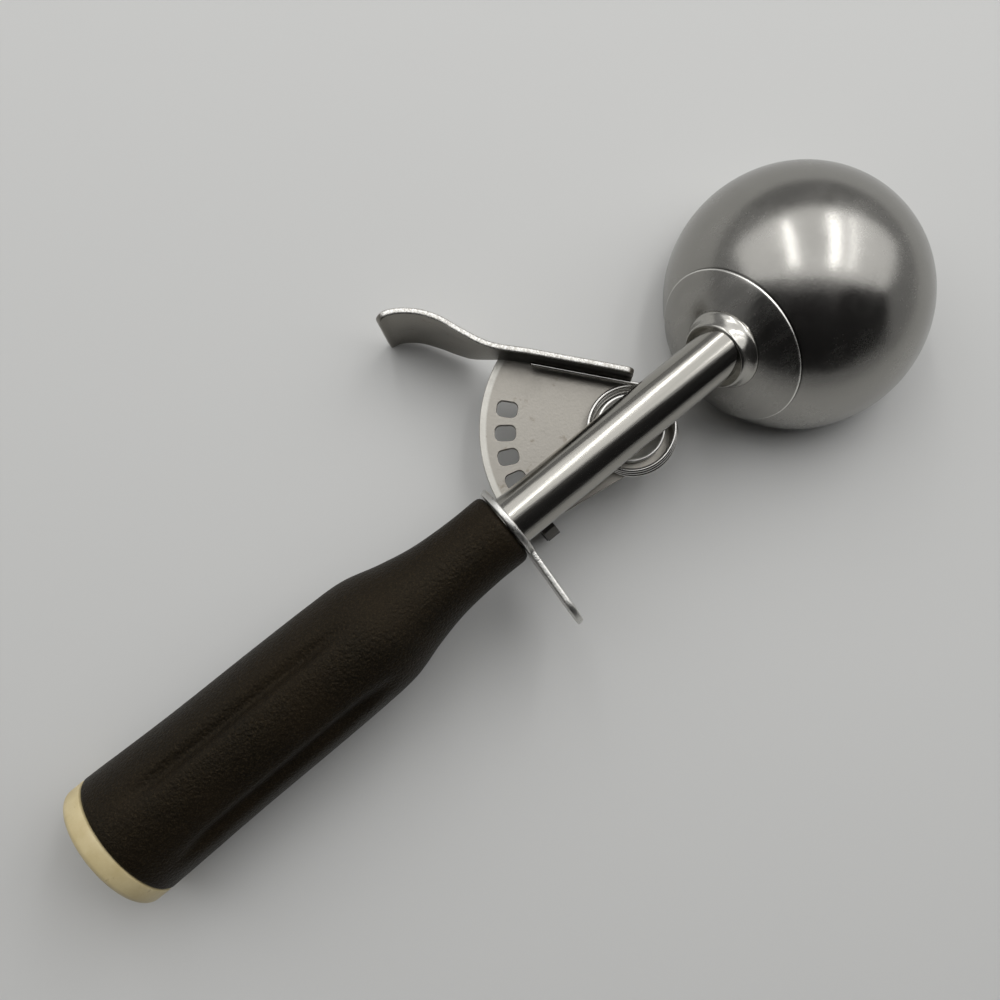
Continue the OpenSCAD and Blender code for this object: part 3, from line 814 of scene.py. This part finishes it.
class SCOOP_OT_lever(bpy.types.Operator):
    """Thumb lever: slotted plate, flange and curled pad"""
    bl_idname = "scoop.lever"
    bl_label = "Thumb lever"

    # Plan points from the pivot, in millimetres: the foot of the flange, then the pad.
    wall_points = ((8.4, 9.6), (3.6, 15.5), (-2.7, 23), (-8.2, 29.6), (-13.2, 35.2),
                   (-15.7, 39), (-18, 44.6), (-20, 50), (-22.8, 54.4), (-26.4, 57.7),
                   (-29.4, 59.3), (-32, 59.6))
    flange_count = 4  # wall points past the foot that belong to the flange
    path_steps = 12  # steps between two wall points

    # Lower edge of the plate, with the open notch below the lowest slot.
    edge_points = ((-7, -8.5), (-27.7, -5.37), (-28.1, -2.2), (-28.6, -1.6), (-33.2, -2.1),
                   (-33.7, -2.8), (-33.55, -4.5))
    arc_span = (math.radians(180 + 6.3), math.radians(180 - 67.2))
    eye_r, eye_span = 11, (math.radians(36), math.radians(-130))
    slot_count, first_slot, slot_corner = 5, math.pi - math.radians(4), 1.45 * MM

    def plan(self):
        """Outline of the plate, from the lower edge round the arc to the flange."""
        points = list(self.edge_points)
        points += arc(settings().lever.arc / MM, *self.arc_span, 60)
        points += reversed(self.wall_points[:self.flange_count + 1])
        points += arc(self.eye_r, *self.eye_span, 40)
        return [(PIVOT.x + x * MM, y * MM) for x, y in points]

    def slots(self):
        """Outlines of the slots, each a rectangle with round corners on the slot circle."""
        size = settings().lever
        corner = self.slot_corner
        holes = []
        for k in range(self.slot_count):
            bearing = self.first_slot - k * size.slot_pitch
            turn = Matrix.Rotation(bearing, 2)
            points = []
            for quarter, (sx, sy) in enumerate(((1, 1), (-1, 1), (-1, -1), (1, -1))):
                centre = (size.slot_circle + sx * (size.slot_length / 2 - corner),
                          sy * (size.slot_width / 2 - corner))
                start = quarter * math.pi / 2
                points += arc(corner, start, start + math.pi / 2, 6, centre)
            holes.append([(PIVOT.x + p.x, p.y) for p in (turn @ Vector(q) for q in points)])
        return holes

    def wall(self, bm):
        """Flange and pad as one bent strip with round edges."""
        size = settings().lever
        half = size.wall / 2
        path = [Vector((PIVOT.x + p.x * MM, p.y * MM))
                for p in smooth_path(self.wall_points, self.path_steps)]
        run = [0.0]
        for a, b in zip(path, path[1:]):
            run.append(run[-1] + (b - a).length)
        fold = run[self.flange_count * self.path_steps]
        end = run[-1]
        corner_r, tip_r, soft = 2.2 * MM, 2.6 * MM, 0.45 * MM
        drop_start, drop_run = fold - 1 * MM, 10 * MM
        lean_start, lean_run = fold + 2 * MM, 17 * MM
        low_tip_r = 1 * MM
        foot = LEVER_TOP - size.sheet
        rings = []
        for i, point in enumerate(path):
            ahead = (path[min(i + 1, len(path) - 1)] - path[max(i - 1, 0)]).normalized()
            side = Vector((-ahead.y, ahead.x))
            s = run[i]
            top = WALL_TOP
            if s < corner_r:
                top -= corner_r - math.sqrt(max(corner_r ** 2 - (corner_r - s) ** 2, 0))
            if s > end - tip_r:
                top -= tip_r - math.sqrt(max(tip_r ** 2 - (tip_r - end + s) ** 2, 0))
            bottom = foot + (WALL_LOW - foot) * ease((s - drop_start) / drop_run)
            lean = size.lean * ease((s - lean_start) / lean_run)
            if s > end - low_tip_r:
                bottom += low_tip_r - math.sqrt(max(low_tip_r ** 2 - (s - end + low_tip_r) ** 2, 0))
            corners = ((half - soft, top - soft, 0), (-half + soft, top - soft, 90),
                       (-half + soft, bottom + soft, 180), (half - soft, bottom + soft, 270))
            section = []
            for centre_u, centre_z, start in corners:
                for step in range(5):
                    a = math.radians(start + 90 * step / 4)
                    z = centre_z + soft * math.sin(a)
                    u = centre_u + soft * math.cos(a)
                    u += lean * (WALL_TOP - z) / (WALL_TOP - WALL_LOW)
                    section.append(Vector((point.x + side.x * u, point.y + side.y * u, z)))
            rings.append(section)
        loft(bm, rings, closed=False)

    def execute(self, context):
        size = settings().lever
        sheet_edge = 0.18 * MM
        sheet = flat_plate("lever_sheet", self.plan(), self.slots(), LEVER_TOP - size.sheet,
                           LEVER_TOP, sheet_edge, sheet_steel())
        bm = bmesh.new()
        self.wall(bm)
        pad = add_piece("lever_pad", bm, wall_steel(), sharp=50)
        dress(sheet, "lever", "lever_steel", "lever_plate")
        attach(pad, "lever")
        return {"FINISHED"}


class SCOOP_OT_spring(bpy.types.Operator):
    """Return spring and its seat"""
    bl_idname = "scoop.spring"
    bl_label = "Return spring"

    def execute(self, context):
        size = settings().spring
        radius = (size.coil - size.wire) / 2
        start_z = LEVER_TOP + size.wire / 2 + 0.1 * MM
        pitch = size.wire + 0.06 * MM
        leave = math.radians(40.2)  # bearing at which the wire leaves the coil
        leg_turn, leg_length = leave + math.radians(89.5), 27 * MM
        steps = 64
        path = []
        for k in range(size.turns * steps + 1):
            turn = leave - math.tau * (size.turns - k / steps)
            lean = size.lean * (1 - k / (size.turns * steps))
            path.append(PIVOT + Vector((radius * math.cos(turn), radius * math.sin(turn) - lean,
                                        start_z + pitch * k / steps)))
        along = Vector((math.cos(leg_turn), math.sin(leg_turn), 0))
        path += [path[-1] + along * leg_length * k for k in (0.02, 0.3, 0.7, 0.98, 1)]
        bm = bmesh.new()
        tube_along(bm, path, size.wire / 2)
        dress(add_piece("spring_coil", bm, bright_steel(), sharp=60), "lever", "bright_steel",
              "return_spring")

        seat_low, seat_high = low("spring_seat").z, high("spring_seat").z
        rim = (high("spring_seat").x - low("spring_seat").x) / 2
        bore = 3.05 * MM
        profile = [(bore, seat_low), (rim - 0.2 * MM, seat_low), (rim, seat_low + 0.2 * MM),
                   (rim, seat_high - 0.25 * MM), (rim - 0.1 * MM, seat_high - 0.07 * MM),
                   (rim - 0.3 * MM, seat_high), (rim - 0.7 * MM, seat_high),
                   (rim - 1.0 * MM, seat_high - 0.3 * MM), (bore, seat_high - 0.35 * MM)]
        bm = bmesh.new()
        lathe(bm, profile, Matrix.Translation(PIVOT), 128)
        dress(add_piece("seat_disc", bm, seat_steel(), sharp=50), "frame", "bright_steel",
              "spring_seat")
        return {"FINISHED"}


class SCOOP_OT_drive(bpy.types.Operator):
    """Finish of the rod, pinion, blade and small fittings"""
    bl_idname = "scoop.drive"
    bl_label = "Drive"

    def execute(self, context):
        finishes = {
            bright_steel(): ("drive_rod", "pivot_stud", "stud_washer", "rod_washer",
                             "blade_pivot_pin"),
            dark_steel(): ("drive_pinion", "pinion_pin", "rod_clip", "stud_clip", "blade_hub",
                           "tang_ring"),
            bronze(): ("bowl_bush", "guard_bush", "lever_bush"),
            bowl_steel(): ("scraper_blade",),
        }
        for material, names in finishes.items():
            for name in names:
                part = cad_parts[name]
                part.data.materials.clear()
                part.data.materials.append(material)
        return {"FINISHED"}


# ---- stage ------------------------------------------------------------------

# Directions of the lamps and the card: up and right across the table, and straight up.
TARGET = Vector((-0.04, 0, 0.02))
UP = Vector((0.63, 0.775, 0)).normalized()
RIGHT = Vector((0.775, -0.63, 0)).normalized()
ABOVE = Vector((0, 0, 1))

# Name, tilt from overhead and turn to the right in degrees, distance, width, height, watts.
LAMPS = (
    ("ceiling", 30, 6, 1.15, 4.2, 1.38, 19),
    ("window_0", 31, -13, 0.95, 0.08, 0.72, 0.9),
    ("window_1", 31, 19, 0.95, 0.10, 0.76, 1.2),
    ("window_2", 31, 33, 0.95, 0.06, 0.76, 0.45),
)


def add_lamp(name, tilt, aside, distance, width, height, watts):
    """Rectangular soft lamp that looks at the target, its height along the up direction."""
    tilt, aside = math.radians(tilt), math.radians(aside)
    leaning = UP * math.sin(tilt) + ABOVE * math.cos(tilt)
    away = leaning * math.cos(aside) + RIGHT * math.sin(aside)
    x = RIGHT - away * RIGHT.dot(away)
    x.normalize()
    turn = Matrix((x, away.cross(x), away)).transposed().to_4x4()
    data = bpy.data.lights.new(name, "AREA")
    data.shape = "RECTANGLE"
    data.size, data.size_y = width, height
    data.energy = watts
    lamp = bpy.data.objects.new(name, data)
    bpy.context.scene.collection.objects.link(lamp)
    lamp.matrix_world = Matrix.Translation(TARGET + away * distance) @ turn


def resting_plane():
    """Slopes and height of the table under the rim, the butt and the pad's lower edge."""
    rim_r = math.sqrt(BOWL_R ** 2 - BOWL_CENTRE.z ** 2)
    pad_at = Vector((low("lever_plate").x + 2 * MM, high("lever_plate").y - 1 * MM, WALL_LOW))
    slope_x, slope_y, height = 0.0, 0.0, 0.0
    for _ in range(60):
        height = -rim_r * math.hypot(slope_x, slope_y)
        slope_x = (height - (SHANK_Z - HANDLE_R * math.hypot(1, slope_y))) / -HANDLE_BACK
        slope_y = (pad_at.z - slope_x * pad_at.x - height) / pad_at.y
    return slope_x, slope_y, height


class SCOOP_OT_stage(bpy.types.Operator):
    """Camera, floor, world and lamps"""
    bl_idname = "scoop.stage"
    bl_label = "Stage"

    def execute(self, context):
        scene = context.scene
        stage = settings().stage
        data = bpy.data.cameras.new("camera")
        data.sensor_width = 36
        data.lens = 39.02
        data.shift_x, data.shift_y = -0.0065, 0.0195
        data.clip_start, data.clip_end = 0.01, 20
        camera = bpy.data.objects.new("camera", data)
        camera.location = stage.camera_place
        camera.rotation_euler = stage.camera_turn
        scene.collection.objects.link(camera)
        scene.camera = camera

        slope_x, slope_y, height = resting_plane()
        normal = Vector((-slope_x, -slope_y, 1)).normalized()
        material, _, shader = new_material("floor")
        shader.inputs["Base Color"].default_value = (*stage.floor, 1)
        shader.inputs["Roughness"].default_value = 0.75
        shader.inputs["Specular IOR Level"].default_value = 0.2
        middle, half_width = -0.09, 3
        origin = Vector((middle, 0, height + slope_x * middle))
        bm = bmesh.new()
        bmesh.ops.create_grid(bm, x_segments=1, y_segments=1, size=half_width)
        bmesh.ops.transform(bm, verts=bm.verts, matrix=axis_place(origin, normal))
        floor = add_piece("floor", bm, material)

        world = bpy.data.worlds.new("world")
        world.use_nodes = True
        background = world.node_tree.nodes["Background"]
        background.inputs["Color"].default_value = (0.30, 0.30, 0.30, 1)
        background.inputs["Strength"].default_value = 1
        scene.world = world

        for lamp in LAMPS:
            add_lamp(*lamp)

        # A dark card over the scoop, which the camera doesn't see and the steel reflects.
        width, depth, distance, aside = 2.2, 0.95, 0.62, 0.38
        away = (ABOVE * 0.70 - UP * 0.72).normalized()
        turn = Matrix((RIGHT, away.cross(RIGHT), away)).transposed().to_4x4()
        place = Matrix.Translation(TARGET + away * distance + RIGHT * aside) @ turn
        card_material, _, shader = new_material("card")
        shader.inputs["Base Color"].default_value = (0.012, 0.011, 0.012, 1)
        shader.inputs["Roughness"].default_value = 0.9
        bm = bmesh.new()
        bmesh.ops.create_grid(bm, x_segments=1, y_segments=1, size=0.5)
        bmesh.ops.scale(bm, verts=bm.verts, vec=(width, depth, 1))
        bmesh.ops.transform(bm, verts=bm.verts, matrix=place)
        card = add_piece("card", bm, card_material)
        card.visible_camera = False
        scene.view_settings.view_transform = "Standard"
        return {"FINISHED"}


class SCOOP_PT_panel(bpy.types.Panel):
    """Lists the operators of the scoop"""
    bl_label = "Scoop"
    bl_idname = "SCOOP_PT_panel"
    bl_space_type = "VIEW_3D"
    bl_region_type = "UI"
    bl_category = "Scoop"

    def draw(self, context):
        for maker in OPERATORS:
            self.layout.operator(maker.bl_idname)
        for group in ("bowl", "shank", "handle", "lever", "spring", "stage"):
            box = self.layout.box()
            part = getattr(context.scene.scoop, group)
            for name in part.__annotations__:
                box.prop(part, name)


OPERATORS = (SCOOP_OT_stage, SCOOP_OT_bowl, SCOOP_OT_shank, SCOOP_OT_guard, SCOOP_OT_handle,
             SCOOP_OT_lever, SCOOP_OT_spring, SCOOP_OT_drive)
CLASSES = (ScoopBowlSettings, ScoopShankSettings, ScoopHandleSettings, ScoopLeverSettings,
           ScoopSpringSettings, ScoopStageSettings, ScoopSettings) + OPERATORS + (SCOOP_PT_panel,)


def register():
    for cls in CLASSES:
        bpy.utils.register_class(cls)
    bpy.types.Scene.scoop = PointerProperty(type=ScoopSettings)


def unregister():
    del bpy.types.Scene.scoop
    for cls in reversed(CLASSES):
        bpy.utils.unregister_class(cls)


def main():
    register()
    bpy.ops.scoop.stage()
    bpy.ops.scoop.bowl()
    bpy.ops.scoop.shank()
    bpy.ops.scoop.guard()
    bpy.ops.scoop.handle()
    bpy.ops.scoop.lever()
    bpy.ops.scoop.spring()
    bpy.ops.scoop.drive()
    bpy.context.view_layer.update()


if __name__ == "__main__":
    main()
